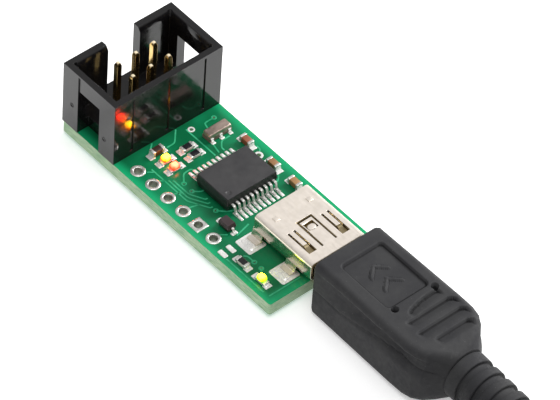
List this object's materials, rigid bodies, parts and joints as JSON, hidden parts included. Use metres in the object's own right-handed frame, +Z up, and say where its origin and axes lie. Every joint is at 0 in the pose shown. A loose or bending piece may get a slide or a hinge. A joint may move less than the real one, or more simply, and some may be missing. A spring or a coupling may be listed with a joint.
{
  "type": "usb microcontroller programmer",
  "caption": "Small circuit board with a shrouded pin header at one end and a mini USB socket at the other, with its USB lead plugged in.",
  "frame": {"origin": "middle of the board and its plugged-in plug, on the bench that they lie on; the free cord isn't counted", "axes": "+Z up out of the board's component side, +Y from the USB end to the header end, +X across the board away from the row of edge holes"},
  "size_m": [0.0665, 0.114, 0.011],
  "materials": {
    "solder_mask_board": "gloss",
    "tin_plate": "satin",
    "solder": "gloss",
    "shroud_plastic": "gloss",
    "gold_plate": "polished",
    "package_epoxy": "matte",
    "nickel_shell": "satin",
    "socket_plastic": "matte",
    "led_base": "matte",
    "yellow_lens": "clear",
    "red_lens": "clear",
    "green_lens": "clear",
    "resistor_glaze": "gloss",
    "capacitor_ceramic": "matte",
    "resonator_ceramic": "matte",
    "resonator_lid": "satin",
    "plug_rubber": "matte",
    "cord_jacket": "satin",
    "tie_fabric": "woven",
    "white_plastic": "matte"
  },
  "bodies": {
    "root": {"circuit_board": "solder_mask_board", "barrel_plating": "tin_plate", "solder_pads": "tin_plate", "header_shroud": "shroud_plastic", "header_pin_1": "gold_plate", "header_pin_2": "gold_plate", "header_pin_3": "gold_plate", "header_pin_4": "gold_plate", "header_pin_5": "gold_plate", "header_pin_6": "gold_plate", "header_solder_joints": "solder", "mcu_package": "package_epoxy", "mcu_leads": "tin_plate", "diode_body": "package_epoxy", "diode_leads": "tin_plate", "usb_socket_shell": "nickel_shell", "usb_socket_insert": "socket_plastic", "usb_socket_contacts": "gold_plate", "yellow_led_base": "led_base", "yellow_led_lens": "yellow_lens", "red_led_base": "led_base", "red_led_lens": "red_lens", "green_led_base": "led_base", "green_led_lens": "green_lens", "led_terminals": "tin_plate", "resistor_1_body": "resistor_glaze", "resistor_2_body": "resistor_glaze", "resistor_3_body": "resistor_glaze", "resistor_terminals": "tin_plate", "capacitor_1_body": "capacitor_ceramic", "capacitor_2_body": "capacitor_ceramic", "capacitor_3_body": "capacitor_ceramic", "capacitor_4_body": "capacitor_ceramic", "capacitor_terminals": "tin_plate", "resonator_base": "resonator_ceramic", "resonator_lid": "resonator_lid", "resonator_terminals": "tin_plate"},
    "usb_cable": {"plug_overmould": "plug_rubber", "plug_shell": "nickel_shell", "plug_insulator": "socket_plastic", "plug_contacts": "gold_plate", "plug_strain_relief": "plug_rubber", "cord_run": "cord_jacket", "cord_coil": "cord_jacket", "cord_tail": "cord_jacket", "cord_tie": "tie_fabric", "far_plug_strain_relief": "plug_rubber", "far_plug_overmould": "plug_rubber", "far_plug_shell": "nickel_shell", "far_plug_insulator": "white_plastic", "far_plug_contacts": "gold_plate"}
  },
  "joints": [
    {"name": "plug_pull_out", "type": "slide", "parent": "root", "child": "usb_cable", "axis": [0, -1, 0], "range_m": [0, 0.008]}
  ]
}
